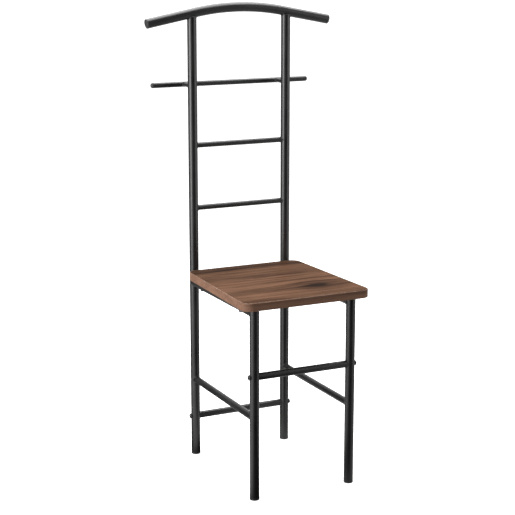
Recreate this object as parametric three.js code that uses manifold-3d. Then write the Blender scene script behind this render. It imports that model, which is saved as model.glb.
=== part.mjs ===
// Valet stand with a seat: a welded and bolted frame of round steel tube, a wooden seat board,
// two rungs, a trouser bar behind the uprights and a bowed hanger bar on top.
// Millimetres. X runs left to right, Y front to back, Z up from the floor.
import * as THREE from 'three';
import { mergeVertices } from 'three/addons/utils/BufferGeometryUtils.js';
import Module from 'manifold-3d';

const wasm = await Module();
wasm.setup();

// Clearances
const weldGap = 0.3;
const slipGap = 0.3;
const boltClearance = 0.4;
const cutThrough = 1;

// Posts: the two front legs, the two rear legs and the uprights that stand on the rear legs.
// The two rails under the seat are cut from the same tube.
const postSpacing = 234;
const postDepth = 320;
const postDiameter = 21.3;
const postWall = 1.2;
const jointHeight = 514;
const sleeveLength = 90;
const sleeveWall = 1.5;

// Cross tubes
const braceDiameter = 16;
const braceWall = 1.2;
const frontStretcherHeight = 278;
const sideStretcherHeight = 185;
const rearStretcherHeight = 94;
const rungDiameter = 12;
const rungWall = 1;
const lowerRungHeight = 592;
const upperRungHeight = 736;

// Hanger bar: a shallow arc between two straight ends that slope down
const hangerDiameter = 21.3;
const hangerWall = 1.2;
const hangerHeight = 1043;
const hangerSpan = 452;
const hangerRadius = 580;
const hangerSlope = 10.8 * Math.PI / 180;
const hangerCope = 4;
const plugHead = 2.5;
const plugDepth = 14;
const plugRounding = 1;

// Trouser bar: straight, behind the uprights
const trouserBarHeight = 870;
const trouserBarOffset = 49;
const trouserBarLength = 397;
const stubDiameter = 10;
const trouserCapDome = 5;
const trouserCapDepth = 9;

// Feet
const footThickness = 5;
const footRounding = 1.6;
const footDepth = 16;

// Seat
const seatHeight = 448.5;
const seatThickness = 18;
const seatBackOverhang = 23;
const seatFrontOverhang = 36;
const seatCorner = 22;
const seatBackGap = 0.6;
const seatNose = 18;
const edgeBand = 1.2;
const bandGap = 0.25;

// Fasteners
const boltDiameter = 6;
const boltHeadDiameter = 11.5;
const boltHeadHeight = 4;
const boltBite = 18.4;
const boltChamfer = 0.6;
const boltSocket = 4;
const boltSocketDepth = 2.4;
const insertLength = 20;
const insertSetback = 1;
const screwDiameter = 4;
const screwHeadDiameter = 8.6;
const screwHeadHeight = 2.6;
const screwBite = 12.4;
const screwTip = 3;
const recessLength = 4.7;
const recessWidth = 1.1;
const recessDepth = 1.4;
const rearScrewInset = 35;
const frontScrewInset = 97;

// Head curves, as shares of the head's radius and height
const boltCrown = [[1, 0.3], [0.88, 0.68], [0.68, 0.92], [0.5, 1]];
const screwCrown = [[0.55, 1], [0.85, 0.8], [1, 0.4]];

// Facets of the round and bent pieces
const postSides = 20;
const braceSides = 16;
const smallSides = 12;
const hangerSteps = 12;
const domeSteps = 5;
const footSteps = 4;
const plugSteps = 3;
const cornerSteps = 8;

// Places that follow from the sizes above
const halfSpacing = postSpacing / 2;
const seatUnderside = seatHeight - seatThickness;
const railTop = seatUnderside - weldGap;
const seatRailHeight = railTop - postDiameter / 2;
const boltLength = postDiameter + weldGap + boltBite;
const screwLength = postDiameter + weldGap + screwBite;
const seatBack = -postDiameter / 2 - seatBackGap;
const seatFront = -postDepth - postDiameter / 2 - seatNose;
const seatBackWidth = postSpacing + 2 * seatBackOverhang;
const seatFrontWidth = postSpacing + 2 * seatFrontOverhang;

const steel = { color: 0x232323, roughness: 0.45, metalness: 0.6 };
const zinc = { color: 0x8f9296, roughness: 0.4, metalness: 0.9 };
const plastic = { color: 0x151515, roughness: 0.6, metalness: 0 };
const walnut = { color: 0x7b5b49, roughness: 0.5, metalness: 0 };
const walnutEdge = { color: 0x8a6a56, roughness: 0.55, metalness: 0 };

const stand = new THREE.Group();

function toSolid(geometry) {
  geometry.deleteAttribute('normal');
  geometry.deleteAttribute('uv');
  const merged = mergeVertices(geometry, 1e-4);
  const vertProperties = new Float32Array(merged.attributes.position.array);
  const triVerts = new Uint32Array(merged.index.array);
  return new wasm.Manifold(new wasm.Mesh({ numProp: 3, vertProperties, triVerts }));
}

function toGeometry(solid) {
  const mesh = solid.getMesh();
  const geometry = new THREE.BufferGeometry();
  geometry.setAttribute('position', new THREE.BufferAttribute(mesh.vertProperties, 3));
  geometry.setIndex(new THREE.BufferAttribute(mesh.triVerts, 1));
  return geometry;
}

function place(name, solid, look, x, y, z) {
  const mesh = new THREE.Mesh(toGeometry(solid), new THREE.MeshStandardMaterial(look));
  mesh.name = name;
  mesh.position.set(x, y, z);
  stand.add(mesh);
  return mesh;
}

// Runs a builder once for each side: the side's name, and -1 on the left or +1 on the right
function forBothSides(build) {
  build('left', -1);
  build('right', 1);
}

// A round bar centred on the origin, along the x, y or z axis
function rod(axis, diameter, length, sides) {
  const geometry = new THREE.CylinderGeometry(diameter / 2, diameter / 2, length, sides);
  if (axis === 'x') geometry.rotateZ(Math.PI / 2);
  if (axis === 'z') geometry.rotateX(Math.PI / 2);
  return toSolid(geometry);
}

function tube(axis, diameter, wall, length, sides) {
  const bore = rod(axis, diameter - 2 * wall, length + 2 * cutThrough, sides);
  return rod(axis, diameter, length, sides).subtract(bore);
}

// A solid of revolution about z, from points [radius, height] that start and end on the axis
function turned(points, sides) {
  const outline = points.map(([radius, height]) => new THREE.Vector2(radius, height));
  const geometry = new THREE.LatheGeometry(outline, sides);
  geometry.rotateX(Math.PI / 2);
  return toSolid(geometry);
}

// Points on a quarter round, from the angle `from` to `to`, about a centre [radius, height]
function arcPoints(centre, radius, from, to, steps) {
  const points = [];
  for (let i = 0; i <= steps; i += 1) {
    const angle = from + (to - from) * i / steps;
    points.push([centre[0] + radius * Math.cos(angle), centre[1] + radius * Math.sin(angle)]);
  }
  return points;
}

// A tube from post to post, both ends shaped to sit against the round posts
function copedTube(axis, span, diameter, wall, sides) {
  const post = rod('z', postDiameter + 2 * weldGap, 2 * diameter, postSides);
  const reach = axis === 'x' ? [span / 2, 0, 0] : [0, span / 2, 0];
  const back = reach.map((value) => -value);
  return tube(axis, diameter, wall, span, sides)
    .subtract(post.translate(reach))
    .subtract(post.translate(back));
}

// A path of straight and arc sections in the XZ plane, mirror-symmetric about X = 0.
// Each section has a run, a turn and the number of steps that it takes.
class BentPath extends THREE.Curve {
  constructor(sections, startHeading) {
    super();
    this.points = [new THREE.Vector2(0, 0)];
    let heading = startHeading;
    for (const { run, turn, steps } of sections) {
      const stepTurn = turn / steps;
      const chord = turn === 0 ? run / steps : 2 * (run / turn) * Math.sin(stepTurn / 2);
      for (let i = 0; i < steps; i += 1) {
        const direction = heading + stepTurn / 2;
        const last = this.points[this.points.length - 1];
        const next = new THREE.Vector2(Math.cos(direction), Math.sin(direction)).multiplyScalar(chord);
        this.points.push(next.add(last));
        heading += stepTurn;
      }
    }
    this.halfWidth = this.points[this.points.length - 1].x / 2;
    this.steps = this.points.length - 1;
  }

  // Every step of the path is one division, so the straight runs take a single one
  getUtoTmapping(u) {
    return u;
  }

  getPoint(t) {
    const index = Math.min(Math.floor(t * this.steps + 1e-9), this.steps - 1);
    const part = t * this.steps - index;
    const point = this.points[index].clone().lerp(this.points[index + 1], part);
    return new THREE.Vector3(point.x - this.halfWidth, 0, point.y);
  }
}

// Sweeps a round section, hollow when it has a wall, along a bent path
function sweep(path, diameter, wall, sides) {
  const section = new THREE.Shape().absarc(0, 0, diameter / 2, 0, 2 * Math.PI);
  if (wall > 0) {
    const bore = new THREE.Path().absarc(0, 0, diameter / 2 - wall, 0, 2 * Math.PI, true);
    section.holes.push(bore);
  }
  const settings = { steps: path.steps, extrudePath: path, curveSegments: sides, bevelEnabled: false };
  return toSolid(new THREE.ExtrudeGeometry(section, settings));
}

// Feet: a plastic cap under each post with a stem that plugs the tube
function footSolid() {
  const radius = postDiameter / 2;
  const stem = radius - postWall - slipGap;
  const centre = [radius - footRounding, footRounding];
  return turned([
    [0, 0],
    ...arcPoints(centre, footRounding, -Math.PI / 2, 0, footSteps),
    [radius, footThickness],
    [stem, footThickness],
    [stem, footThickness + footDepth],
    [0, footThickness + footDepth],
  ], postSides);
}

function addFeet() {
  forBothSides((side, sign) => {
    place(`${side}_front_foot`, footSolid(), plastic, sign * halfSpacing, -postDepth, 0);
    place(`${side}_rear_foot`, footSolid(), plastic, sign * halfSpacing, 0, 0);
  });
}

// Legs: a post with a cross hole through both walls for the stretcher bolt
function legSolid(top, boltHeight) {
  const bottom = footThickness + slipGap;
  const length = top - bottom;
  const hole = rod('x', boltDiameter + 2 * boltClearance, 2 * postDiameter, smallSides);
  return tube('z', postDiameter, postWall, length, postSides)
    .translate([0, 0, bottom + length / 2])
    .subtract(hole.translate([0, 0, boltHeight]));
}

function addLegs() {
  const frontLeg = legSolid(seatUnderside - weldGap, frontStretcherHeight);
  const rearLeg = legSolid(jointHeight, rearStretcherHeight);
  forBothSides((side, sign) => {
    place(`${side}_front_leg`, frontLeg, steel, sign * halfSpacing, -postDepth, 0);
    place(`${side}_rear_leg`, rearLeg, steel, sign * halfSpacing, 0, 0);
  });
}

// Stretchers between the legs, and the rails that carry the seat
function addBraces() {
  const cross = copedTube('x', postSpacing, braceDiameter, braceWall, braceSides);
  const along = copedTube('y', postDepth, braceDiameter, braceWall, braceSides);
  const rail = drilledRail(copedTube('y', postDepth, postDiameter, postWall, postSides));
  place('front_stretcher', cross, steel, 0, -postDepth, frontStretcherHeight);
  place('rear_stretcher', cross, steel, 0, 0, rearStretcherHeight);
  forBothSides((side, sign) => {
    const x = sign * halfSpacing;
    place(`${side}_side_stretcher`, along, steel, x, -postDepth / 2, sideStretcherHeight);
    place(`${side}_seat_rail`, rail, steel, x, -postDepth / 2, seatRailHeight);
  });
}

function screwPlaces() {
  return [['rear', seatBack - rearScrewInset], ['front', seatFront + frontScrewInset]];
}

// A seat rail with a hole through both walls at each seat screw
function drilledRail(rail) {
  const hole = rod('z', screwDiameter + 2 * boltClearance, 2 * postDiameter, smallSides);
  let drilled = rail;
  for (const [, y] of screwPlaces()) {
    drilled = drilled.subtract(hole.translate([0, y + postDepth / 2, 0]));
  }
  return drilled;
}

// Hanger bar, its end plugs and the uprights that carry it
function hangerPath(endTrim) {
  const arcRun = 2 * hangerSlope * hangerRadius;
  const arcHalf = hangerRadius * Math.sin(hangerSlope);
  const endRun = (hangerSpan / 2 - arcHalf) / Math.cos(hangerSlope) - endTrim;
  return new BentPath([
    { run: endRun, turn: 0, steps: 1 },
    { run: arcRun, turn: -2 * hangerSlope, steps: hangerSteps },
    { run: endRun, turn: 0, steps: 1 },
  ], hangerSlope);
}

// Height of the path's crown above its ends
function hangerRise(path) {
  return path.getPoint(0.5).z;
}

function plugSolid() {
  const radius = hangerDiameter / 2;
  const stem = radius - hangerWall - slipGap;
  const centre = [radius - plugRounding, -plugRounding];
  return turned([
    [0, -plugHead - plugDepth],
    [stem, -plugHead - plugDepth],
    [stem, -plugHead],
    [radius, -plugHead],
    ...arcPoints(centre, plugRounding, 0, Math.PI / 2, plugSteps),
    [0, 0],
  ], postSides);
}

function addHanger() {
  const path = hangerPath(plugHead + slipGap);
  const endDrop = (hangerSpan / 2 - path.halfWidth) * Math.tan(hangerSlope);
  const crown = hangerHeight - hangerRise(path);
  const bar = sweep(path, hangerDiameter, hangerWall, postSides / 2);
  place('hanger_bar', bar, steel, 0, 0, crown);
  forBothSides((side, sign) => {
    const x = sign * hangerSpan / 2;
    const plug = place(`${side}_hanger_plug`, plugSolid(), plastic, x, 0, crown - endDrop);
    plug.rotation.y = sign * (Math.PI / 2 + hangerSlope);
  });
}

// An upright stands on the rear leg's joint and is coped around the hanger bar
function uprightSolid(sign) {
  const path = hangerPath(0);
  const envelope = sweep(path, hangerDiameter + 2 * weldGap, 0, postSides / 2);
  const crown = hangerHeight - hangerRise(path);
  const pastArc = halfSpacing - hangerRadius * Math.sin(hangerSlope);
  const drop = hangerRadius * (1 - Math.cos(hangerSlope)) + pastArc * Math.tan(hangerSlope);
  const underside = hangerHeight - drop - hangerDiameter / 2 / Math.cos(hangerSlope);
  const bottom = jointHeight + slipGap;
  const length = underside + hangerCope - bottom;
  return tube('z', postDiameter, postWall, length, postSides)
    .translate([0, 0, bottom + length / 2])
    .subtract(envelope.translate([-sign * halfSpacing, 0, crown]));
}

function addUprights() {
  const sleeveDiameter = postDiameter - 2 * postWall - 2 * slipGap;
  const sleeve = tube('z', sleeveDiameter, sleeveWall, sleeveLength, postSides);
  forBothSides((side, sign) => {
    place(`${side}_upright`, uprightSolid(sign), steel, sign * halfSpacing, 0, 0);
    place(`${side}_joint_sleeve`, sleeve, zinc, sign * halfSpacing, 0, jointHeight);
  });
}

function addRungs() {
  const rung = copedTube('x', postSpacing, rungDiameter, rungWall, smallSides);
  place('lower_rung', rung, steel, 0, 0, lowerRungHeight);
  place('upper_rung', rung, steel, 0, 0, upperRungHeight);
}

// Trouser bar: a straight tube with domed caps, held behind the uprights by two short stubs
function trouserCapSolid() {
  const radius = rungDiameter / 2;
  const stem = radius - rungWall - slipGap;
  const dome = arcPoints([0, 0], 1, 0, Math.PI / 2, domeSteps)
    .slice(0, -1)
    .map(([out, up]) => [radius * out, trouserCapDome * up]);
  return turned([
    [0, -trouserCapDepth],
    [stem, -trouserCapDepth],
    [stem, 0],
    ...dome,
    [0, trouserCapDome],
  ], smallSides);
}

function stubSolid() {
  const post = rod('z', postDiameter + 2 * weldGap, 3 * stubDiameter, postSides);
  const bar = rod('x', rungDiameter + 2 * weldGap, 3 * stubDiameter, smallSides);
  return rod('y', stubDiameter, trouserBarOffset, smallSides)
    .translate([0, trouserBarOffset / 2, 0])
    .subtract(post)
    .subtract(bar.translate([0, trouserBarOffset, 0]));
}

function addTrouserBar() {
  const capX = trouserBarLength / 2 - trouserCapDome;
  const bar = tube('x', rungDiameter, rungWall, 2 * (capX - slipGap), smallSides);
  place('trouser_bar', bar, steel, 0, trouserBarOffset, trouserBarHeight);
  forBothSides((side, sign) => {
    const name = `${side}_trouser_bar_cap`;
    const cap = place(name, trouserCapSolid(), plastic, sign * capX, trouserBarOffset, trouserBarHeight);
    cap.rotation.y = sign * Math.PI / 2;
    place(`${side}_trouser_bar_stub`, stubSolid(), steel, sign * halfSpacing, 0, trouserBarHeight);
  });
}

// Seat: a board with a band around its edge, both from one outline that narrows to the back
function seatOutline(Kind, inset) {
  const taper = Math.atan2((seatFrontWidth - seatBackWidth) / 2, seatBack - seatFront);
  const sideX = (width, lineY, y) => {
    const edge = width / 2 * Math.cos(taper) + lineY * Math.sin(taper) - seatCorner;
    return (edge - y * Math.sin(taper)) / Math.cos(taper);
  };
  const backY = seatBack - seatCorner;
  const frontY = seatFront + seatCorner;
  const backX = sideX(seatBackWidth, seatBack, backY);
  const frontX = sideX(seatFrontWidth, seatFront, frontY);
  const radius = seatCorner - inset;
  const outline = new Kind();
  outline.absarc(frontX, frontY, radius, -Math.PI / 2, taper);
  outline.absarc(backX, backY, radius, taper, Math.PI / 2);
  outline.absarc(-backX, backY, radius, Math.PI / 2, Math.PI - taper);
  outline.absarc(-frontX, frontY, radius, Math.PI - taper, Math.PI * 1.5);
  return outline;
}

function extrudeSeat(shape) {
  const settings = { depth: seatThickness, bevelEnabled: false, curveSegments: cornerSteps };
  return toSolid(new THREE.ExtrudeGeometry(shape, settings));
}

function addSeat() {
  const pilot = rod('z', screwDiameter + 2 * boltClearance, 2 * (screwBite + slipGap), smallSides);
  let board = extrudeSeat(seatOutline(THREE.Shape, edgeBand + bandGap));
  for (const x of [-halfSpacing, halfSpacing]) {
    for (const [, y] of screwPlaces()) {
      board = board.subtract(pilot.translate([x, y, 0]));
    }
  }
  const band = seatOutline(THREE.Shape, 0);
  band.holes.push(seatOutline(THREE.Path, edgeBand));
  place('seat_board', board, walnut, 0, 0, seatUnderside);
  place('seat_edge_band', extrudeSeat(band), walnutEdge, 0, 0, seatUnderside);
}

// Stretcher bolts with a hexagon socket, and the tapped inserts in the stretcher ends
function boltSolid() {
  const head = boltHeadDiameter / 2;
  const shank = boltDiameter / 2;
  const socketRadius = boltSocket / Math.sqrt(3);
  const socket = rod('z', 2 * socketRadius, 2 * boltSocketDepth, 6);
  return turned([
    [0, -boltLength],
    [shank - boltChamfer, -boltLength],
    [shank, -boltLength + boltChamfer],
    [shank, 0],
    [head, 0],
    ...boltCrown.map(([out, up]) => [head * out, boltHeadHeight * up]),
    [0, boltHeadHeight],
  ], smallSides).subtract(socket.translate([0, 0, boltHeadHeight]));
}

function addStretcherFixings() {
  const insertDiameter = braceDiameter - 2 * braceWall - 2 * slipGap;
  const insertBore = (insertDiameter - boltDiameter) / 2 - boltClearance;
  const insert = tube('x', insertDiameter, insertBore, insertLength, smallSides);
  const headX = halfSpacing + postDiameter / 2 + weldGap;
  const insertX = halfSpacing - postDiameter / 2 - insertSetback - insertLength / 2;
  const rows = [['front', -postDepth, frontStretcherHeight], ['rear', 0, rearStretcherHeight]];
  forBothSides((side, sign) => {
    for (const [end, y, z] of rows) {
      const bolt = place(`${side}_${end}_bolt`, boltSolid(), zinc, sign * headX, y, z);
      bolt.rotation.y = sign * Math.PI / 2;
      place(`${side}_${end}_insert`, insert, zinc, sign * insertX, y, z);
    }
  });
}

// Pan-head screws that go up through the rails into the seat board
function screwSolid() {
  const shank = screwDiameter / 2;
  const head = screwHeadDiameter / 2;
  const slot = new THREE.BoxGeometry(recessLength, recessWidth, 2 * recessDepth);
  const cross = toSolid(slot.clone()).add(toSolid(slot.rotateZ(Math.PI / 2)));
  return turned([
    [0, -screwHeadHeight],
    ...screwCrown.map(([out, down]) => [head * out, -screwHeadHeight * down]),
    [head, 0],
    [shank, 0],
    [shank, screwLength - screwTip],
    [0, screwLength],
  ], smallSides).subtract(cross.translate([0, 0, -screwHeadHeight]));
}

function addSeatScrews() {
  const z = seatRailHeight - postDiameter / 2 - weldGap;
  forBothSides((side, sign) => {
    for (const [end, y] of screwPlaces()) {
      place(`${side}_${end}_seat_screw`, screwSolid(), zinc, sign * halfSpacing, y, z);
    }
  });
}

addFeet();
addLegs();
addBraces();
addUprights();
addHanger();
addRungs();
addTrouserBar();
addSeat();
addStretcherFixings();
addSeatScrews();

// The origin is on the floor, in the middle of the stand's overall width and depth
const extent = new THREE.Box3().setFromObject(stand, true);
stand.position.y = -(extent.min.y + extent.max.y) / 2;

export default stand;
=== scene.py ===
import math
import random
import bpy
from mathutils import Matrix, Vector


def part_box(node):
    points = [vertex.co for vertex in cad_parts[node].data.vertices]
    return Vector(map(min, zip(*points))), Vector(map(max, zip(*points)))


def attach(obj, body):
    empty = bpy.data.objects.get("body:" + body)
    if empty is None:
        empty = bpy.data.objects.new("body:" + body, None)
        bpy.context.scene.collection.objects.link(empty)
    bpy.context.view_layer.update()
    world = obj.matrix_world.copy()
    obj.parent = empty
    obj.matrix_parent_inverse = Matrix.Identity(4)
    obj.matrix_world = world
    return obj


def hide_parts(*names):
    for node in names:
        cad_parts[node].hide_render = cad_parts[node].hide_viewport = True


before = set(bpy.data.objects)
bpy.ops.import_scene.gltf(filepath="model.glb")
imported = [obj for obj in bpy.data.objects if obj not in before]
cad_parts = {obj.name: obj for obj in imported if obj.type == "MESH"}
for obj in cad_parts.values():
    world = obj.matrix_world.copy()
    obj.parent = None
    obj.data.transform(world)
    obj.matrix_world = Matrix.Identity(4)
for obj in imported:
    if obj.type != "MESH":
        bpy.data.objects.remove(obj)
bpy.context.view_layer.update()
print("frame loaded with", len(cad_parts), "solids")


tiny = 0.000001  # metres, to tell level edges from sloping ones
mergeDistance = 0.000002
bothSides = (("left", -1), ("right", 1))  # with the sign of x
corners = [(side, end) for side in ("left", "right") for end in ("front", "rear")]


# small helpers for modelling

def onlySelect(*objs):  # the first one is active
    bpy.ops.object.select_all(action="DESELECT")
    for obj in objs:
        obj.select_set(True)
    bpy.context.view_layer.objects.active = objs[0]


def choose(obj, kind, test):  # edit mode, with only what passes the test selected
    onlySelect(obj)
    bpy.ops.object.mode_set(mode="EDIT")
    bpy.ops.mesh.select_mode(type=kind)
    bpy.ops.mesh.select_all(action="DESELECT")
    bpy.ops.object.mode_set(mode="OBJECT")
    mesh = obj.data
    parts = {"VERT": mesh.vertices, "EDGE": mesh.edges, "FACE": mesh.polygons}[kind]
    for part in parts:
        part.select = test(part)
    bpy.ops.object.mode_set(mode="EDIT")


def endEdit():
    bpy.ops.object.mode_set(mode="OBJECT")


def edgeEnds(obj, edge):
    return [obj.data.vertices[index].co for index in edge.vertices]


def applyPlace(obj):
    onlySelect(obj)
    bpy.ops.object.transform_apply(location=True, rotation=True, scale=True)


def applyModifier(obj, kind, **settings):
    onlySelect(obj)
    made = obj.modifiers.new(kind.title(), kind)
    for key, value in settings.items():
        setattr(made, key, value)
    bpy.ops.object.modifier_apply(modifier=made.name)


def cutWith(obj, *cutters):  # takes the cutters out of obj and throws them away
    for cutter in cutters:
        applyModifier(obj, "BOOLEAN", operation="DIFFERENCE", solver="EXACT", object=cutter)
        bpy.data.objects.remove(cutter)


def mendNormals(obj):
    choose(obj, "FACE", lambda face: True)
    bpy.ops.mesh.remove_doubles(threshold=mergeDistance)
    bpy.ops.mesh.normals_make_consistent(inside=False)
    endEdit()


def addRod(name, radius, length, centre, axis="Z", sides=64, fill="NGON"):
    turns = {"X": (0, math.pi / 2, 0), "Y": (math.pi / 2, 0, 0), "Z": (0, 0, 0)}
    bpy.ops.object.select_all(action="DESELECT")
    bpy.ops.mesh.primitive_cylinder_add(vertices=sides, radius=radius, depth=length,
                                        end_fill_type=fill, location=centre,
                                        rotation=turns[axis])
    rod = bpy.context.object
    rod.name = rod.data.name = name
    applyPlace(rod)
    return rod


def addTube(name, radius, wall, length, centre, axis="Z", sides=64):
    tube = addRod(name, radius, length, centre, axis, sides, "NOTHING")
    applyModifier(tube, "SOLIDIFY", thickness=wall, offset=-1)
    return tube


def bevelEdges(obj, test, size, segments):
    choose(obj, "EDGE", lambda edge: test(*edgeEnds(obj, edge)))
    bpy.ops.mesh.bevel(offset=size, segments=segments, affect="EDGES")
    endEdit()


def shrinkAndPush(obj, normal, steps):  # insets a flat end face and pushes it out, step by step
    along = Vector(normal)
    ends = [face for face in obj.data.polygons if face.normal.dot(along) > 0.999]
    place = max(face.center.dot(along) for face in ends)
    choose(obj, "FACE", lambda face: face.normal.dot(along) > 0.999
           and abs(face.center.dot(along) - place) < tiny and len(face.vertices) > 8)
    for inset, push in steps:
        bpy.ops.mesh.inset(thickness=inset)
        bpy.ops.mesh.extrude_region_move(TRANSFORM_OT_translate={"value": along * push})
    endEdit()


def placeCopy(template, name, spot, turn=(0, 0, 0)):  # a copy with its own mesh
    copy = template.copy()
    copy.data = template.data.copy()
    bpy.context.collection.objects.link(copy)
    copy.name = copy.data.name = name
    copy.rotation_euler = turn
    copy.location = spot
    applyPlace(copy)
    return copy


def finishPiece(obj, finish, slot, *nodes, smooth=35):
    onlySelect(obj)
    bpy.ops.object.shade_smooth_by_angle(angle=math.radians(smooth))
    # long faces stay flat up to their rounded edges
    applyModifier(obj, "WEIGHTED_NORMAL", keep_sharp=True)
    obj.data.materials.clear()
    obj.data.materials.append(finish)
    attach(obj, "root")
    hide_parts(*nodes)


def middle(node):
    low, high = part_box(node)
    return (low + high) / 2


def camel(node):  # left_front_leg becomes leftFrontLeg
    words = node.split("_")
    return words[0] + "".join(word.title() for word in words[1:])


# node helpers

def addNode(tree, kind, sockets=None, **settings):
    made = tree.nodes.new(kind)
    for key, value in settings.items():
        setattr(made, key, value)
    for socket, value in (sockets or {}).items():
        if isinstance(value, bpy.types.NodeSocket):
            tree.links.new(value, made.inputs[socket])
        else:
            made.inputs[socket].default_value = value
    return made


def calc(tree, operation, first, second, clamp=False):
    made = addNode(tree, "ShaderNodeMath", {0: first, 1: second}, operation=operation)
    made.use_clamp = clamp
    return made.outputs[0]


def blendColour(tree, factor, first, second):
    made = addNode(tree, "ShaderNodeMix", {0: factor, 6: first, 7: second}, data_type="RGBA")
    return made.outputs[2]


def remap(tree, value, low, high, toLow, toHigh):
    made = addNode(tree, "ShaderNodeMapRange", {
        "Value": value, "From Min": low, "From Max": high, "To Min": toLow, "To Max": toHigh})
    return made.outputs[0]


def stretch(tree, vector, scale):
    made = addNode(tree, "ShaderNodeVectorMath", {0: vector, 1: scale}, operation="MULTIPLY")
    return made.outputs[0]


def noise(tree, vector, scale, detail=2.0, rough=0.5, distortion=0.0):
    made = addNode(tree, "ShaderNodeTexNoise", {
        "Vector": vector, "Scale": scale, "Detail": detail, "Roughness": rough,
        "Distortion": distortion})
    return made.outputs["Fac"]


def newGroup(name, inputs, outputs):
    group = bpy.data.node_groups.new(name, "ShaderNodeTree")
    for socket, kind, value in inputs:
        made = group.interface.new_socket(socket, in_out="INPUT", socket_type=kind)
        if value is not None:
            made.default_value = value
    for socket, kind in outputs:
        group.interface.new_socket(socket, in_out="OUTPUT", socket_type=kind)
    given = group.nodes.new("NodeGroupInput").outputs
    result = group.nodes.new("NodeGroupOutput").inputs
    return group, given, result


def useGroup(tree, group, **values):
    made = tree.nodes.new("ShaderNodeGroup")
    made.node_tree = group
    for socket, value in values.items():
        name = socket[0].upper() + "".join(" " + c if c.isupper() else c for c in socket[1:])
        if isinstance(value, bpy.types.NodeSocket):
            tree.links.new(value, made.inputs[name])
        else:
            made.inputs[name].default_value = value
    return made.outputs


def newFinish(name):  # material, its tree, its Principled BSDF and the object coordinates
    finish = bpy.data.materials.new(name)
    finish.use_nodes = True
    tree = finish.node_tree
    shader = tree.nodes["Principled BSDF"]
    place = addNode(tree, "ShaderNodeTexCoord").outputs["Object"]
    return finish, tree, shader, place


def addBump(tree, shader, height, distance, strength):
    bump = addNode(tree, "ShaderNodeBump", {"Height": height, "Distance": distance,
                                            "Strength": strength})
    tree.links.new(bump.outputs[0], shader.inputs["Normal"])


# shared effects

coatShape = {
    "finer": 3.1, "peelShare": 0.75, "fineShare": 0.25, "speckEdge": (0.12, 0.3),
    "speckRare": (0.86, 0.98), "cloudDetail": (4.0, 0.6, 0.4), "cloudRange": (0.32, 0.68),
}


def makeCoatGrain():  # orange peel, dust specks and cloudy gloss of a coated or moulded surface
    tree, given, result = newGroup(
        "coatGrain",
        [("Vector", "NodeSocketVector", None), ("Peel Scale", "NodeSocketFloat", 900.0),
         ("Speck Scale", "NodeSocketFloat", 700.0), ("Cloud Scale", "NodeSocketFloat", 16.0)],
        [("Height", "NodeSocketFloat"), ("Specks", "NodeSocketFloat"),
         ("Clouds", "NodeSocketFloat")])
    peel = noise(tree, given["Vector"], given["Peel Scale"], 2.0)
    fineScale = calc(tree, "MULTIPLY", given["Peel Scale"], coatShape["finer"])
    fine = noise(tree, given["Vector"], fineScale, 1.0)
    tree.links.new(calc(tree, "ADD", calc(tree, "MULTIPLY", peel, coatShape["peelShare"]),
                        calc(tree, "MULTIPLY", fine, coatShape["fineShare"])), result["Height"])
    cells = addNode(tree, "ShaderNodeTexVoronoi", {
        "Vector": given["Vector"], "Scale": given["Speck Scale"]})
    rare = addNode(tree, "ShaderNodeSeparateColor", {0: cells.outputs["Color"]}).outputs[0]
    dot = remap(tree, cells.outputs["Distance"], *coatShape["speckEdge"], 1.0, 0.0)
    kept = remap(tree, rare, *coatShape["speckRare"], 0.0, 1.0)
    tree.links.new(calc(tree, "MULTIPLY", dot, kept), result["Specks"])
    clouds = noise(tree, given["Vector"], given["Cloud Scale"], *coatShape["cloudDetail"])
    tree.links.new(remap(tree, clouds, *coatShape["cloudRange"], 0.0, 1.0), result["Clouds"])
    return tree


wearAndHighlightShape = {"samples": 6, "breakRange": (0.35, 0.6), "leastWearAndHighlight": 0.15}


def makeEdgeWearAndHighlight():  # a broken mask along the outer edges, where hands and cloth rub; the finishes also lighten these edges as a painted highlight
    tree, given, result = newGroup(
        "edgeWearAndHighlight",
        [("Vector", "NodeSocketVector", None), ("Radius", "NodeSocketFloat", 0.0006),
         ("Gain", "NodeSocketFloat", 5.0), ("Break Scale", "NodeSocketFloat", 160.0)],
        [("Mask", "NodeSocketFloat")])
    soft = addNode(tree, "ShaderNodeBevel", {"Radius": given["Radius"]},
                   samples=wearAndHighlightShape["samples"])
    flat = addNode(tree, "ShaderNodeNewGeometry")
    facing = addNode(tree, "ShaderNodeVectorMath", {
        0: soft.outputs[0], 1: flat.outputs["Normal"]}, operation="DOT_PRODUCT").outputs["Value"]
    away = calc(tree, "MULTIPLY", calc(tree, "SUBTRACT", 1.0, facing), given["Gain"], True)
    patches = noise(tree, given["Vector"], given["Break Scale"], 3.0)
    broken = remap(tree, patches, *wearAndHighlightShape["breakRange"], wearAndHighlightShape["leastWearAndHighlight"], 1.0)
    tree.links.new(calc(tree, "MULTIPLY", away, broken, True), result["Mask"])
    return tree


woodShape = {
    "wanderStretch": (3.5, 9.0, 9.0), "wander": 0.03, "wanderUp": 0.4,
    "figureRun": 2.2, "figureDetail": (5.0, 0.62, 0.35), "figureRange": (0.36, 0.64),
    "streakRun": 7.0, "streakDetail": (4.0, 0.65), "streakRange": (0.33, 0.67),
    "poreRun": 70.0, "poreDetail": (2.0, 0.5), "poreRange": (0.6, 0.72),
}


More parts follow.
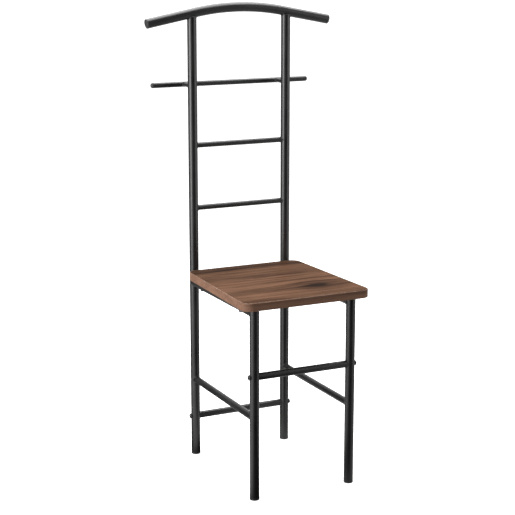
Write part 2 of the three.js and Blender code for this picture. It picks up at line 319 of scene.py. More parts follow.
def makeWoodGrain():  # figure, streaks and pores that run along X
    tree, given, result = newGroup(
        "woodGrain",
        [("Vector", "NodeSocketVector", None), ("Figure Width", "NodeSocketFloat", 26.0),
         ("Streak Width", "NodeSocketFloat", 240.0), ("Pore Width", "NodeSocketFloat", 1500.0)],
        [("Figure", "NodeSocketFloat"), ("Streaks", "NodeSocketFloat"),
         ("Pores", "NodeSocketFloat")])
    wander = noise(tree, stretch(tree, given["Vector"], woodShape["wanderStretch"]), 1.0, 2.0)
    parts = addNode(tree, "ShaderNodeSeparateXYZ", {0: given["Vector"]}).outputs
    bend = calc(tree, "MULTIPLY", calc(tree, "SUBTRACT", wander, 0.5), woodShape["wander"])
    across = calc(tree, "ADD", parts["Y"], bend)
    up = calc(tree, "ADD", parts["Z"], calc(tree, "MULTIPLY", bend, woodShape["wanderUp"]))

    def lengthwise(width, run):  # coordinates squeezed along the grain
        return addNode(tree, "ShaderNodeCombineXYZ", {
            "X": calc(tree, "MULTIPLY", parts["X"], run),
            "Y": calc(tree, "MULTIPLY", across, width),
            "Z": calc(tree, "MULTIPLY", up, width)}).outputs[0]

    for part, output in (("figure", "Figure"), ("streak", "Streaks"), ("pore", "Pores")):
        squeezed = lengthwise(given[part.title() + " Width"], woodShape[part + "Run"])
        value = noise(tree, squeezed, 1.0, *woodShape[part + "Detail"])
        value = remap(tree, value, *woodShape[part + "Range"], 0.0, 1.0)
        tree.links.new(value, result[output])
    return tree


coatGrain = makeCoatGrain()
edgeWearAndHighlight = makeEdgeWearAndHighlight()
woodGrain = makeWoodGrain()


# finishes

coatings = {
    "satinBlackCoat": {  # powder coat on the tubes
        "deep": (0.006, 0.006, 0.0063, 1), "pale": (0.012, 0.012, 0.0124, 1),
        # the pale edge colour is partly rubbed wear, partly a painted highlight on the tube rims
        "wornAndHighlitEdge": (0.085, 0.085, 0.085, 1), "wearAndHighlightShare": 0.7,
        "wearAndHighlightRadius": 0.0007, "wearAndHighlightGain": 4.0, "breakScale": 150.0,
        "peelScale": 620.0, "speckScale": 520.0, "cloudScale": 14.0,
        "rough": (0.27, 0.36), "metal": 0.0, "peel": 0.00012, "peelShare": 0.6,
        "dust": (0.11, 0.11, 0.11, 1), "dustShare": 0.3, "dustRough": 0.15,
    },
    "mouldedBlackPlastic": {  # caps, plugs and feet
        "deep": (0.012, 0.012, 0.012, 1), "pale": (0.02, 0.02, 0.02, 1),
        "wornAndHighlitEdge": (0.06, 0.06, 0.058, 1), "wearAndHighlightShare": 0.6,
        "wearAndHighlightRadius": 0.0005, "wearAndHighlightGain": 4.0, "breakScale": 220.0,
        "peelScale": 1500.0, "speckScale": 600.0, "cloudScale": 40.0,
        "rough": (0.48, 0.62), "metal": 0.0, "peel": 0.00008, "peelShare": 0.8,
    },
    "blackOxide": {  # bolts and screws
        "deep": (0.035, 0.035, 0.036, 1), "pale": (0.08, 0.079, 0.08, 1),
        # the pale edge colour is partly wear, partly a painted highlight on the bolt and screw
        # heads
        "wornAndHighlitEdge": (0.3, 0.3, 0.3, 1), "wearAndHighlightShare": 0.8,
        "wearAndHighlightRadius": 0.0004, "wearAndHighlightGain": 5.0, "breakScale": 500.0,
        "peelScale": 2200.0, "speckScale": 900.0, "cloudScale": 180.0,
        "rough": (0.2, 0.34), "metal": 0.7, "peel": 0.00003, "peelShare": 0.7,
    },
    "zincPlate": {  # sleeves and inserts inside the tubes
        "deep": (0.42, 0.43, 0.44, 1), "pale": (0.58, 0.59, 0.6, 1),
        "wornAndHighlitEdge": (0.75, 0.75, 0.75, 1), "wearAndHighlightShare": 0.5,
        "wearAndHighlightRadius": 0.0005, "wearAndHighlightGain": 4.0, "breakScale": 300.0,
        "peelScale": 1800.0, "speckScale": 400.0, "cloudScale": 120.0,
        "rough": (0.3, 0.45), "metal": 1.0, "peel": 0.00002, "peelShare": 0.6,
    },
}


def makeCoating(name):
    look = coatings[name]
    finish, tree, shader, place = newFinish(name)
    grain = useGroup(tree, coatGrain, vector=place, peelScale=look["peelScale"],
                     speckScale=look["speckScale"], cloudScale=look["cloudScale"])
    wearAndHighlight = useGroup(tree, edgeWearAndHighlight, vector=place, radius=look["wearAndHighlightRadius"], gain=look["wearAndHighlightGain"],
                   breakScale=look["breakScale"])["Mask"]
    colour = blendColour(tree, grain["Clouds"], look["deep"], look["pale"])
    rough = remap(tree, grain["Clouds"], 0.0, 1.0, *look["rough"])
    if "dust" in look:
        dust = calc(tree, "MULTIPLY", grain["Specks"], look["dustShare"])
        colour = blendColour(tree, dust, colour, look["dust"])
        dustRough = calc(tree, "MULTIPLY", grain["Specks"], look["dustRough"])
        rough = calc(tree, "ADD", rough, dustRough)
    # lighter outer edges: partly rubbed wear, partly a painted highlight
    wornAndHighlitEdge = calc(tree, "MULTIPLY", wearAndHighlight, look["wearAndHighlightShare"])
    colour = blendColour(tree, wornAndHighlitEdge, colour, look["wornAndHighlitEdge"])
    tree.links.new(colour, shader.inputs["Base Color"])
    tree.links.new(rough, shader.inputs["Roughness"])
    shader.inputs["Metallic"].default_value = look["metal"]
    addBump(tree, shader, grain["Height"], look["peel"], look["peelShare"])
    return finish


walnut = {
    "darkest": (0.018, 0.011, 0.008, 1), "dark": (0.044, 0.023, 0.015, 1),
    "mid": (0.092, 0.048, 0.029, 1), "light": (0.142, 0.075, 0.046, 1),
    "darkFrom": 0.25, "midFrom": 0.58, "lightFrom": 0.95,
    "figureWidth": 34.0, "streakWidth": 120.0, "poreWidth": 1300.0,
    "figureShare": 0.56, "streakShare": 0.44, "baseTone": 0.12, "poreShare": 0.45,
    "knot": (0.068, -0.1125), "knotReach": (0.058, 0.036), "parting": 0.75,
    "fallBase": 2.718, "knotFall": -0.9, "knotShade": 0.4, "heartFall": -7.0, "heartShade": 0.5,
    # painted shade over the back of the top
    "paintedShadeFrom": 0.0, "paintedShadeTo": 0.11, "shade": 0.2,
    # pale edge colour: partly rubbed wear, partly a painted highlight
    "wornAndHighlitEdge": (0.19, 0.112, 0.075, 1), "wearAndHighlightShare": 0.35,
    "wearAndHighlightRadius": 0.0008, "wearAndHighlightGain": 3.0, "breakScale": 90.0,
    "rough": (0.56, 0.46), "specular": 0.003,
    "streakLift": 0.5, "depth": 0.00012, "depthShare": 0.5,
}


def fallOff(tree, far, rate):  # 1 in the middle, dropping to 0 with distance
    return calc(tree, "POWER", walnut["fallBase"], calc(tree, "MULTIPLY", far, rate))


def makeWalnutTop():
    finish, tree, shader, place = newFinish("walnutTop")
    parts = addNode(tree, "ShaderNodeSeparateXYZ", {0: place}).outputs
    # how far a point is from the knot, squared, as a share of the knot's reach
    over = calc(tree, "SUBTRACT", parts["Y"], walnut["knot"][1])
    side = calc(tree, "SUBTRACT", parts["X"], walnut["knot"][0])
    sideShare = calc(tree, "DIVIDE", side, walnut["knotReach"][0])
    overShare = calc(tree, "DIVIDE", over, walnut["knotReach"][1])
    far = calc(tree, "ADD", calc(tree, "MULTIPLY", sideShare, sideShare),
               calc(tree, "MULTIPLY", overShare, overShare))
    near = fallOff(tree, far, walnut["knotFall"])
    heart = fallOff(tree, far, walnut["heartFall"])
    # the grain parts around the knot
    parting = calc(tree, "MULTIPLY", over, calc(tree, "MULTIPLY", near, walnut["parting"]))
    pushed = calc(tree, "SUBTRACT", parts["Y"], parting)
    moved = addNode(tree, "ShaderNodeCombineXYZ", {"X": parts["X"], "Y": pushed, "Z": parts["Z"]})
    grain = useGroup(tree, woodGrain, vector=moved.outputs[0], figureWidth=walnut["figureWidth"],
                     streakWidth=walnut["streakWidth"], poreWidth=walnut["poreWidth"])
    wearAndHighlight = useGroup(tree, edgeWearAndHighlight, vector=place, radius=walnut["wearAndHighlightRadius"], gain=walnut["wearAndHighlightGain"],
                   breakScale=walnut["breakScale"])["Mask"]
    tone = calc(tree, "ADD", calc(tree, "MULTIPLY", grain["Figure"], walnut["figureShare"]),
                calc(tree, "MULTIPLY", grain["Streaks"], walnut["streakShare"]))
    tone = calc(tree, "ADD", tone, walnut["baseTone"])
    # painted shade darker towards the back; the wood is darker at the knot and most of all in its
    # heart
    shade = remap(tree, parts["Y"], walnut["paintedShadeFrom"], walnut["paintedShadeTo"], 0.0, walnut["shade"])
    tone = calc(tree, "SUBTRACT", tone, shade)
    tone = calc(tree, "SUBTRACT", tone, calc(tree, "MULTIPLY", near, walnut["knotShade"]))
    tone = calc(tree, "SUBTRACT", tone, calc(tree, "MULTIPLY", heart, walnut["heartShade"]), True)
    ramp = addNode(tree, "ShaderNodeValToRGB", {"Fac": tone})
    steps = ramp.color_ramp.elements
    steps[0].position, steps[0].color = 0.0, walnut["darkest"]
    steps[1].position, steps[1].color = walnut["lightFrom"], walnut["light"]
    steps.new(walnut["darkFrom"]).color = walnut["dark"]
    steps.new(walnut["midFrom"]).color = walnut["mid"]
    pores = calc(tree, "MULTIPLY", grain["Pores"], walnut["poreShare"])
    colour = blendColour(tree, pores, ramp.outputs[0], walnut["darkest"])
    # lighter edges: partly rubbed wear, partly a painted highlight
    wornAndHighlitEdge = calc(tree, "MULTIPLY", wearAndHighlight, walnut["wearAndHighlightShare"])
    colour = blendColour(tree, wornAndHighlitEdge, colour, walnut["wornAndHighlitEdge"])
    tree.links.new(colour, shader.inputs["Base Color"])
    rough = remap(tree, grain["Streaks"], 0.0, 1.0, *walnut["rough"])
    tree.links.new(rough, shader.inputs["Roughness"])
    lift = calc(tree, "MULTIPLY", grain["Streaks"], walnut["streakLift"])
    height = calc(tree, "SUBTRACT", lift, grain["Pores"])
    addBump(tree, shader, height, walnut["depth"], walnut["depthShare"])
    shader.inputs["Specular IOR Level"].default_value = walnut["specular"]
    return finish


edging = {
    "squeeze": (0.35, 0.35, 1.0), "figureWidth": 90.0, "streakWidth": 420.0, "poreWidth": 1900.0,
    "dark": (0.11, 0.06, 0.041, 1), "light": (0.235, 0.131, 0.087, 1),
    "figureShare": 0.4, "streakShare": 0.4, "poreShare": 0.35,
    # the pale greyish edge colour is mostly a painted highlight along the rounded edges, partly
    # rubbed wear
    "wornAndHighlitEdge": (0.72, 0.6, 0.5, 1), "wearAndHighlightShare": 0.9,
    "wearAndHighlightRadius": 0.0012, "wearAndHighlightGain": 5.0, "breakScale": 120.0,
    "rough": (0.5, 0.4), "specular": 0.03, "depth": 0.0001, "depthShare": 0.4,
}


def makeWalnutBand():  # the grain runs round the edge, so it is squeezed in height alone
    finish, tree, shader, place = newFinish("walnutBand")
    turned = addNode(tree, "ShaderNodeMapping", {"Vector": place, "Scale": edging["squeeze"]})
    grain = useGroup(tree, woodGrain, vector=turned.outputs[0], figureWidth=edging["figureWidth"],
                     streakWidth=edging["streakWidth"], poreWidth=edging["poreWidth"])
    wearAndHighlight = useGroup(tree, edgeWearAndHighlight, vector=place, radius=edging["wearAndHighlightRadius"], gain=edging["wearAndHighlightGain"],
                   breakScale=edging["breakScale"])["Mask"]
    tone = calc(tree, "ADD", calc(tree, "MULTIPLY", grain["Figure"], edging["figureShare"]),
                calc(tree, "MULTIPLY", grain["Streaks"], edging["streakShare"]), True)
    colour = blendColour(tree, tone, edging["dark"], edging["light"])
    pores = calc(tree, "MULTIPLY", grain["Pores"], edging["poreShare"])
    colour = blendColour(tree, pores, colour, walnut["darkest"])
    # painted highlight along the rounded outer edges, broken up like rubbed wear
    wornAndHighlitEdge = calc(tree, "MULTIPLY", wearAndHighlight, edging["wearAndHighlightShare"])
    colour = blendColour(tree, wornAndHighlitEdge, colour, edging["wornAndHighlitEdge"])
    tree.links.new(colour, shader.inputs["Base Color"])
    rough = remap(tree, grain["Streaks"], 0.0, 1.0, *edging["rough"])
    tree.links.new(rough, shader.inputs["Roughness"])
    addBump(tree, shader, grain["Streaks"], edging["depth"], edging["depthShare"])
    shader.inputs["Specular IOR Level"].default_value = edging["specular"]
    return finish


blackCoat = makeCoating("satinBlackCoat")
blackPlastic = makeCoating("mouldedBlackPlastic")
blackOxide = makeCoating("blackOxide")
zincPlate = makeCoating("zincPlate")
walnutTop = makeWalnutTop()
walnutBand = makeWalnutBand()
print("finishes made")


# legs and uprights

post = {"wall": 0.0012, "rim": 0.0004, "rimDepth": 0.0002, "hole": 0.0034, "weldGap": 0.0001,
        "fitGap": 0.0003, "sides": 72}
postRadius = (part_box("left_front_leg")[1].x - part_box("left_front_leg")[0].x) / 2
halfSpacing = middle("right_rear_leg").x
rearY = middle("right_rear_leg").y
frontY = middle("right_front_leg").y


def addPost(name, node, boltHeight=None):
    low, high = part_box(node)
    centre = (low + high) / 2
    tube = addTube(name, postRadius, post["wall"], high.z - low.z, centre, sides=post["sides"])

    def onRim(a, b):
        outer = min((v - centre).xy.length for v in (a, b)) > postRadius - post["rimDepth"]
        return outer and abs(a.z - b.z) < tiny

    bevelEdges(tube, onRim, post["rim"], segments=3)
    if boltHeight:
        place = (centre.x, centre.y, boltHeight)
        cutWith(tube, addRod("hole", post["hole"], 4 * postRadius, place, "X", sides=32))
    return tube


for side, end in corners:
    node = f"{side}_{end}_leg"
    leg = addPost(camel(node), node, middle(f"{end}_stretcher").z)
    finishPiece(leg, blackCoat, "black_steel", node)
print("legs made")


# hanger bar

hanger = {
    "radius": 0.01065, "wall": 0.0012, "arc": 0.58, "slope": math.radians(10.8), "span": 0.45195,
    "plugHead": 0.0025, "plugGap": 0.0003, "sides": 72, "steps": 18, "merge": 0.00001,
}
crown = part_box("hanger_bar")[1].z - hanger["radius"]
arcHalf = hanger["arc"] * math.sin(hanger["slope"])
endRun = (hanger["span"] / 2 - arcHalf) / math.cos(hanger["slope"])
endDirection = Vector((math.cos(hanger["slope"]), 0, -math.sin(hanger["slope"])))
endHeight = crown - hanger["arc"] * (1 - math.cos(hanger["slope"])) + endRun * endDirection.z


def sweepHanger(name, radius, wall, trim):  # swept from the middle to the right end, then mirrored
    bpy.ops.object.select_all(action="DESELECT")
    bpy.ops.mesh.primitive_circle_add(vertices=hanger["sides"], radius=radius,
                                      location=(0, rearY, crown), rotation=(0, math.pi / 2, 0))
    tube = bpy.context.object
    tube.name = tube.data.name = name
    applyPlace(tube)
    choose(tube, "VERT", lambda vertex: True)
    bpy.ops.mesh.spin(steps=hanger["steps"], angle=-hanger["slope"],
                      center=(0, rearY, crown - hanger["arc"]), axis=(0, 1, 0))
    straight = endDirection * (endRun - trim)
    bpy.ops.mesh.extrude_region_move(TRANSFORM_OT_translate={"value": straight})
    endEdit()
    applyModifier(tube, "MIRROR", use_axis=(True, False, False), merge_threshold=hanger["merge"])
    mendNormals(tube)
    if wall:
        applyModifier(tube, "SOLIDIFY", thickness=wall, offset=-1)
    return tube


plugRoom = hanger["plugHead"] + hanger["plugGap"]
bar = sweepHanger("hangerBar", hanger["radius"], hanger["wall"], plugRoom)
finishPiece(bar, blackCoat, "black_steel", "hanger_bar")
print("hanger bar made", [round(v, 4) for v in bar.dimensions])


# welds

weld = {"size": 0.0012, "round": 3, "ripple": 0.16, "waver": 0.12, "seamDepth": 0.0001}
rippleDice = random.Random(11)


def layWeld(obj, onSeam):  # a rippled bead along the seam edges, joined to the tube
    choose(obj, "EDGE", lambda edge: onSeam(*edgeEnds(obj, edge)))
    bpy.ops.mesh.duplicate()
    bpy.ops.mesh.separate(type="SELECTED")
    endEdit()
    bead = [other for other in bpy.context.selected_objects if other != obj][0]
    onlySelect(bead)
    bpy.ops.object.convert(target="CURVE")
    bead.data.bevel_depth = weld["size"]
    bead.data.bevel_resolution = weld["round"]
    for spline in bead.data.splines:
        for index, point in enumerate(spline.points):
            ripple = weld["ripple"] if index % 2 else 0
            point.radius = 1 - ripple + weld["waver"] * (rippleDice.random() - 0.5)
    bpy.ops.object.convert(target="MESH")
    mendNormals(bead)
    onlySelect(obj, bead)
    bpy.ops.object.join()


def awayFrom(centre, axis):  # distance of a point from a line along that axis
    flat = Vector((0 if axis == "X" else 1, 0 if axis == "Y" else 1, 0 if axis == "Z" else 1))
    return lambda point: ((point - centre) * flat).length


def seamTest(centre, axis, radius, zone=None):  # edges round the outside of a cut tube end
    away = awayFrom(centre, axis)
    along = "XYZ".index(axis)

    def onSeam(a, b):
        outer = min(away(a), away(b)) > radius - weld["seamDepth"]
        lengthwise = abs(a[along] - b[along]) > 0.999 * (a - b).length
        return outer and not lengthwise and (zone is None or zone(a))

    return onSeam


for side in ("left", "right"):
    node = f"{side}_upright"
    low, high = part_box(node)
    centre = (low + high) / 2
    upright = addPost(camel(node), node)
    envelope = sweepHanger("envelope", hanger["radius"] + post["weldGap"], 0, 0)
    choose(envelope, "FACE", lambda face: True)
    bpy.ops.mesh.fill_holes(sides=0)
    endEdit()
    mendNormals(envelope)
    cutWith(upright, envelope)
    layWeld(upright, seamTest(centre, "Z", postRadius, lambda point: point.z > centre.z))
    finishPiece(upright, blackCoat, "black_steel", node)
print("uprights made")


# rungs, stretchers and seat rails

crossTubes = {
    "rung": {"radius": 0.006, "wall": 0.001, "sides": 48},
    "brace": {"radius": 0.008, "wall": 0.0012, "sides": 56},
    "rail": {"radius": postRadius, "wall": 0.0012, "sides": 72},
}
screwHole = 0.0024
weldReach = 0.02  # how far from its end a side tube can carry weld


def addCrossTube(node, kind, axis, span, welded, holes=()):
    size = crossTubes[kind]
    centre = middle(node)
    tube = addTube(camel(node), size["radius"], size["wall"], span, centre, axis, size["sides"])
    reach = Vector((span / 2, 0, 0)) if axis == "X" else Vector((0, span / 2, 0))
    gap = post["weldGap"] if welded else post["fitGap"]
    depth = 4 * size["radius"]
    for end in (centre - reach, centre + reach):
        cutWith(tube, addRod("cutter", postRadius + gap, depth, end, sides=post["sides"]))
    for y in holes:
        cutWith(tube, addRod("hole", screwHole, depth, (centre.x, y, centre.z), sides=24))
    if welded:
        zone = None
        if axis == "Y":
            zone = lambda point: abs(point.y - centre.y) > span / 2 - weldReach
        layWeld(tube, seamTest(centre, axis, size["radius"], zone))
    finishPiece(tube, blackCoat, "black_steel", node)


postSpacing = 2 * halfSpacing
postDepth = rearY - frontY
addCrossTube("lower_rung", "rung", "X", postSpacing, True)
addCrossTube("upper_rung", "rung", "X", postSpacing, True)
addCrossTube("front_stretcher", "brace", "X", postSpacing, False)
addCrossTube("rear_stretcher", "brace", "X", postSpacing, False)
for side in ("left", "right"):
    screwPlaces = [middle(f"{side}_{end}_seat_screw").y for end in ("front", "rear")]
    addCrossTube(f"{side}_side_stretcher", "brace", "Y", postDepth, True)
    addCrossTube(f"{side}_seat_rail", "rail", "Y", postDepth, True, screwPlaces)
print("cross tubes made")


# trouser bar

trouser = {
    "radius": 0.006, "wall": 0.001, "offset": 0.049, "length": 0.397, "gap": 0.0003,
    "rim": 0.0002, "rimDepth": 0.0002, "sides": 48, "stub": 0.005, "cutter": 0.04,
    "capDome": 0.005, "capStem": 0.009,
}
barY = rearY + trouser["offset"]
barZ = middle("trouser_bar").z
capX = trouser["length"] / 2 - trouser["capDome"]
rimRadius = trouser["radius"] - trouser["rimDepth"]
trouserBar = addTube("trouserBar", trouser["radius"], trouser["wall"], 2 * (capX - trouser["gap"]),
                     (0, barY, barZ), "X", trouser["sides"])
bevelEdges(trouserBar, lambda a, b: abs(a.x - b.x) < tiny
           and Vector((a.y - barY, a.z - barZ)).length > rimRadius, trouser["rim"], segments=3)
finishPiece(trouserBar, blackCoat, "black_steel", "trouser_bar")
print("trouser bar made", [round(v, 4) for v in trouserBar.dimensions])

for side, sign in bothSides:
    node = f"{side}_trouser_bar_stub"
    x = sign * halfSpacing
    centre = Vector((x, rearY + trouser["offset"] / 2, barZ))
    stub = addRod(camel(node), trouser["stub"], trouser["offset"], centre, "Y", sides=40)
    postCutter = addRod("cutter", postRadius + post["weldGap"], trouser["cutter"],
                        (x, rearY, barZ), sides=post["sides"])
    barCutter = addRod("cutter", trouser["radius"] + post["weldGap"], trouser["cutter"],
                       (x, barY, barZ), "X", trouser["sides"])
    cutWith(stub, postCutter, barCutter)
    layWeld(stub, seamTest(centre, "Y", trouser["stub"]))
    finishPiece(stub, blackCoat, "black_steel", node)

# domed caps on the bar's ends
bpy.ops.object.select_all(action="DESELECT")
bpy.ops.mesh.primitive_uv_sphere_add(segments=40, ring_count=20, radius=trouser["radius"])
cap = bpy.context.object
cap.name = "capTemplate"
choose(cap, "FACE", lambda face: True)
bpy.ops.mesh.bisect(plane_co=(0, 0, 0), plane_no=(0, 0, 1), clear_inner=True, use_fill=True)
bpy.ops.mesh.select_all(action="SELECT")
flatten = trouser["capDome"] / trouser["radius"]
bpy.ops.transform.resize(value=(1, 1, flatten), center_override=(0, 0, 0))
endEdit()
shrinkAndPush(cap, (0, 0, -1), [(trouser["wall"] + trouser["gap"], trouser["capStem"])])
mendNormals(cap)
for side, sign in bothSides:
    node = f"{side}_trouser_bar_cap"
    made = placeCopy(cap, camel(node), (sign * capX, barY, barZ), (0, sign * math.pi / 2, 0))
    finishPiece(made, blackPlastic, "black_plastic", node)
bpy.data.objects.remove(cap)
print("trouser bar stubs and caps made")


# hanger plugs

plug = {"round": 0.001, "stem": 0.014, "dish": 0.003, "dishSlope": 0.0004, "dishDepth": 0.0003}
template = addRod("plugTemplate", hanger["radius"], hanger["plugHead"],
                  (0, 0, -hanger["plugHead"] / 2), sides=hanger["sides"])
bevelEdges(template, lambda a, b: min(a.z, b.z) > -tiny, plug["round"], segments=5)
shrinkAndPush(template, (0, 0, -1), [(hanger["wall"] + hanger["plugGap"], plug["stem"])])
shrinkAndPush(template, (0, 0, 1), [(plug["dish"], 0), (plug["dishSlope"], -plug["dishDepth"])])
mendNormals(template)
for side, sign in bothSides:
    node = f"{side}_hanger_plug"
    made = placeCopy(template, camel(node), (sign * hanger["span"] / 2, rearY, endHeight),
                     (0, sign * (math.pi / 2 + hanger["slope"]), 0))
    finishPiece(made, blackPlastic, "black_plastic", node)
bpy.data.objects.remove(template)
print("hanger plugs made")


# feet

foot = {"height": 0.005, "round": 0.0016, "stem": 0.016, "gap": 0.0003,
        "sole": 0.0035, "hollow": 0.0009, "nub": 0.0022}
template = addRod("footTemplate", postRadius, foot["height"], (0, 0, foot["height"] / 2),
                  sides=post["sides"])
bevelEdges(template, lambda a, b: max(a.z, b.z) < tiny, foot["round"], segments=6)
shrinkAndPush(template, (0, 0, 1), [(post["wall"] + foot["gap"], foot["stem"])])
shrinkAndPush(template, (0, 0, -1), [(foot["sole"], -foot["hollow"]),
                                     (foot["nub"], foot["hollow"] / 2)])
mendNormals(template)
for side, end in corners:
    node = f"{side}_{end}_foot"
    made = placeCopy(template, camel(node), (middle(node).x, middle(node).y, 0))
    finishPiece(made, blackPlastic, "black_plastic", node)
bpy.data.objects.remove(template)
print("feet made")


# bolts and seat screws

bolt = {"head": 0.00575, "height": 0.004, "dome": 0.0024, "shank": 0.003, "length": 0.04,
        "socket": 0.004, "socketDepth": 0.0024, "chamfer": 0.0006}
template = addRod("boltTemplate", bolt["head"], bolt["height"], (0, 0, bolt["height"] / 2),
                  sides=48)
bevelEdges(template, lambda a, b: min(a.z, b.z) > bolt["height"] - tiny, bolt["dome"], segments=7)
shrinkAndPush(template, (0, 0, -1), [
    (bolt["head"] - bolt["shank"], bolt["length"] - bolt["chamfer"]),
    (bolt["chamfer"], bolt["chamfer"])])
cutWith(template, addRod("socket", bolt["socket"] / math.sqrt(3), 2 * bolt["socketDepth"],
                         (0, 0, bolt["height"]), sides=6))
for side, sign in bothSides:
    for end in ("front", "rear"):
        node = f"{side}_{end}_bolt"
        low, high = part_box(node)
        x = high.x - bolt["height"] if sign > 0 else low.x + bolt["height"]
        place = (x, middle(node).y, middle(node).z)
        made = placeCopy(template, camel(node), place, (0, sign * math.pi / 2, 0))
        finishPiece(made, blackOxide, "black_fastener", node, smooth=30)
bpy.data.objects.remove(template)

screw = {"head": 0.0043, "height": 0.0026, "dome": 0.0017, "shank": 0.002, "length": 0.034,
         "tip": 0.003, "point": 0.08, "crossLength": 0.0047, "crossWidth": 0.0011,
         "crossDepth": 0.0014}
template = addRod("screwTemplate", screw["head"], screw["height"], (0, 0, -screw["height"] / 2),
                  sides=40)
bevelEdges(template, lambda a, b: max(a.z, b.z) < tiny - screw["height"], screw["dome"], segments=6)
shrinkAndPush(template, (0, 0, 1), [
    (screw["head"] - screw["shank"], screw["length"] - screw["tip"]), (0, screw["tip"])])
choose(template, "VERT", lambda vertex: vertex.co.z > screw["length"] - 10 * tiny)
bpy.ops.transform.resize(value=(screw["point"], screw["point"], 1),
                         center_override=(0, 0, screw["length"]))
endEdit()
for turn in (0, math.pi / 2):
    bpy.ops.object.select_all(action="DESELECT")
    bpy.ops.mesh.primitive_cube_add(
        size=1, location=(0, 0, -screw["height"]), rotation=(0, 0, turn),
        scale=(screw["crossLength"], screw["crossWidth"], 2 * screw["crossDepth"]))
    cross = bpy.context.object
    applyPlace(cross)
    cutWith(template, cross)
for side, end in corners:
    node = f"{side}_{end}_seat_screw"
    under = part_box(node)[0].z + screw["height"]
    made = placeCopy(template, camel(node), (middle(node).x, middle(node).y, under))
    finishPiece(made, blackOxide, "black_fastener", node, smooth=30)
bpy.data.objects.remove(template)
print("bolts and screws made")


# seat

seat = {"frontWidth": 0.306, "backWidth": 0.280, "corner": 0.022, "cornerSteps": 14,
        "band": 0.0012, "gap": 0.00025, "bandRound": 0.0009, "boardRound": 0.0003,
        "pilot": 0.0024, "pilotExtra": 0.0003}
low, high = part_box("seat_edge_band")
seatCentre = (low + high) / 2
thickness = high.z - low.z
bpy.ops.object.select_all(action="DESELECT")
bpy.ops.mesh.primitive_cube_add(size=1, location=seatCentre,
                                scale=(seat["frontWidth"], high.y - low.y, thickness))
blank = bpy.context.object
blank.name = "seatBlank"
applyPlace(blank)
choose(blank, "VERT", lambda vertex: vertex.co.y > seatCentre.y)
narrow = seat["backWidth"] / seat["frontWidth"]
bpy.ops.transform.resize(value=(narrow, 1, 1), center_override=seatCentre)
endEdit()
bevelEdges(blank, lambda a, b: abs(a.z - b.z) > thickness / 2, seat["corner"],
           segments=seat["cornerSteps"])


def planSpot(point):  # where a point is seen from above, to a hundredth of a millimetre
    return round(point.x, 5), round(point.y, 5)


outline = {planSpot(vertex.co) for vertex in blank.data.vertices}

board = placeCopy(blank, "seatBoard", (0, 0, 0))
choose(board, "FACE", lambda face: face.normal.z > 0.9)
bpy.ops.mesh.inset(thickness=seat["band"] + seat["gap"])
bpy.ops.mesh.select_all(action="INVERT")
bpy.ops.mesh.delete(type="FACE")
bpy.ops.mesh.select_all(action="SELECT")
bpy.ops.mesh.extrude_region_move(TRANSFORM_OT_translate={"value": (0, 0, -thickness)})
endEdit()
mendNormals(board)
bevelEdges(board, lambda a, b: abs(a.z - b.z) < tiny, seat["boardRound"], segments=2)
for side, end in corners:
    node = f"{side}_{end}_seat_screw"
    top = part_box(node)[1].z + seat["pilotExtra"]
    place = (middle(node).x, middle(node).y, low.z)
    cutWith(board, addRod("pilot", seat["pilot"], 2 * (top - low.z), place, sides=24))
finishPiece(board, walnutTop, "walnut_board", "seat_board")

band = placeCopy(blank, "seatEdgeBand", (0, 0, 0))
choose(band, "FACE", lambda face: abs(face.normal.z) > 0.9)
bpy.ops.mesh.delete(type="ONLY_FACE")
endEdit()
applyModifier(band, "SOLIDIFY", thickness=seat["band"], offset=-1)
bevelEdges(band, lambda a, b: abs(a.z - b.z) < tiny and planSpot(a) in outline
           and planSpot(b) in outline, seat["bandRound"], segments=4)
finishPiece(band, walnutBand, "walnut_edge", "seat_edge_band")
bpy.data.objects.remove(blank)
print("seat made")


# solids kept inside the tubes

for side in ("left", "right"):
    for node in (f"{side}_joint_sleeve", f"{side}_front_insert", f"{side}_rear_insert"):
        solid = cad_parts[node]
        solid.data.materials.clear()
        solid.data.materials.append(zincPlate)


# floor, light and camera

studio = {
    "floorSize": 160, "floorDrop": 0.0005, "floorPale": 0.86, "floorPaler": 0.02, "floorCloud": 3.0,
    "floorRough": 0.9, "floorGlow": 0.72,
    # the pale sides: azimuth and strength of each, the dark level, and how wide they are
    "left": (-84, 1.4), "right": (66, 0.7), "back": (154, 1.0), "low": 0.02, "reach": (0.6, 0.97),
}


def makeSurround():  # how bright the studio is in a direction; it is dark behind the camera
    tree, given, result = newGroup("surround", [("Vector", "NodeSocketVector", None)],
                                   [("Glow", "NodeSocketFloat")])
    level = stretch(tree, given["Vector"], (1, 1, 0))
    heading = addNode(tree, "ShaderNodeVectorMath", {0: level}, operation="NORMALIZE").outputs[0]
    total = studio["low"]
    for side in ("left", "right", "back"):
        turn, strength = math.radians(studio[side][0]), studio[side][1]
        facing = addNode(tree, "ShaderNodeVectorMath", {
            0: heading, 1: (math.sin(turn), -math.cos(turn), 0)},
            operation="DOT_PRODUCT").outputs["Value"]
        share = addNode(tree, "ShaderNodeMapRange", {
            "Value": facing, "From Min": studio["reach"][0], "From Max": studio["reach"][1],
            "To Max": strength}, interpolation_type="SMOOTHSTEP")
        total = calc(tree, "ADD", share.outputs[0], total)
    tree.links.new(total, result["Glow"])
    return tree


surround = makeSurround()


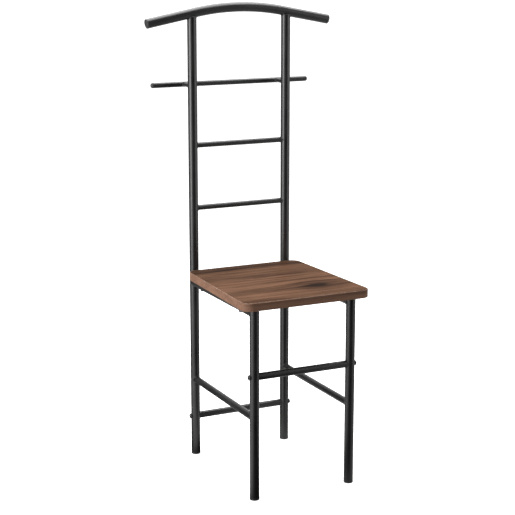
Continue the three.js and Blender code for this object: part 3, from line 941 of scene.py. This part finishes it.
def makeFloor():
    bpy.ops.object.select_all(action="DESELECT")
    bpy.ops.mesh.primitive_plane_add(size=studio["floorSize"],
                                     location=(0, 0, -studio["floorDrop"]))
    floor = bpy.context.object
    floor.name = "floor"
    finish, tree, shader, place = newFinish("paleFloor")
    cloud = noise(tree, place, studio["floorCloud"], 3.0)
    pale = studio["floorPale"]
    paler = pale + studio["floorPaler"]
    tree.links.new(blendColour(tree, cloud, (pale, pale, pale, 1), (paler, paler, paler, 1)),
                   shader.inputs["Base Color"])
    shader.inputs["Roughness"].default_value = studio["floorRough"]
    shader.inputs["Emission Color"].default_value = (1, 1, 1, 1)
    shader.inputs["Emission Strength"].default_value = studio["floorGlow"]
    glow = useGroup(tree, surround, vector=place)["Glow"]
    dim = addNode(tree, "ShaderNodeEmission", {"Color": (1, 1, 1, 1), "Strength": glow})
    ray = addNode(tree, "ShaderNodeLightPath")
    both = addNode(tree, "ShaderNodeMixShader", {
        0: ray.outputs["Is Camera Ray"], 1: dim.outputs[0], 2: shader.outputs[0]})
    tree.links.new(both.outputs[0], tree.nodes["Material Output"].inputs["Surface"])
    floor.data.materials.append(finish)


def makeWorld():  # white to the camera, a dim glow to everything else
    world = bpy.data.worlds.new("studio")
    bpy.context.scene.world = world
    world.use_nodes = True
    tree = world.node_tree
    dim = tree.nodes["Background"]
    heading = addNode(tree, "ShaderNodeTexCoord").outputs["Generated"]
    dim.inputs["Color"].default_value = (1, 1, 1, 1)
    tree.links.new(useGroup(tree, surround, vector=heading)["Glow"], dim.inputs["Strength"])
    bright = addNode(tree, "ShaderNodeBackground", {"Color": (1, 1, 1, 1), "Strength": 1.0})
    ray = addNode(tree, "ShaderNodeLightPath")
    both = addNode(tree, "ShaderNodeMixShader", {
        0: ray.outputs["Is Camera Ray"], 1: dim.outputs[0], 2: bright.outputs[0]})
    tree.links.new(both.outputs[0], tree.nodes["World Output"].inputs["Surface"])


lights = {
    "keyLeft": {"azimuth": -82, "height": 1.1, "away": 2.2, "size": (1.0, 2.4), "power": 66},
    "fillRight": {"azimuth": 56, "height": 0.9, "away": 2.6, "size": (1.6, 2.2), "power": 20},
    "overhead": {"azimuth": 154, "height": 2.5, "away": 0.6, "size": (2.2, 1.9), "power": 74},
}
lookAt = Vector((0, 0, 0.55))


def addLight(name, values):
    turn = math.radians(values["azimuth"])
    spot = Vector((math.sin(turn), -math.cos(turn), 0)) * values["away"]
    spot.z = values["height"]
    bpy.ops.object.light_add(type="AREA", location=spot)
    light = bpy.context.object
    light.name = name
    light.data.shape = "RECTANGLE"
    light.data.size, light.data.size_y = values["size"]
    light.data.energy = values["power"]
    light.visible_camera = False
    light.rotation_euler = (lookAt - spot).to_track_quat("-Z", "Y").to_euler()


camera = {"azimuth": -25.857, "elevation": 12.62, "distance": 3.3444, "lens": 99.857,
          "sensor": 36, "near": 0.05, "far": 400, "aim": (0.0364, 0.1283, 0.4645)}


def addCamera():
    turn, rise = math.radians(camera["azimuth"]), math.radians(camera["elevation"])
    level = math.cos(rise)
    back = Vector((math.sin(turn) * level, -math.cos(turn) * level, math.sin(rise)))
    bpy.ops.object.camera_add(location=Vector(camera["aim"]) + back * camera["distance"])
    made = bpy.context.object
    made.rotation_euler = (-back).to_track_quat("-Z", "Y").to_euler()
    made.data.lens = camera["lens"]
    made.data.sensor_width = camera["sensor"]
    made.data.clip_start, made.data.clip_end = camera["near"], camera["far"]
    bpy.context.scene.camera = made


makeFloor()
makeWorld()
for name, values in lights.items():
    addLight(name, values)
addCamera()
bpy.context.scene.view_settings.view_transform = "Standard"
print("studio made")
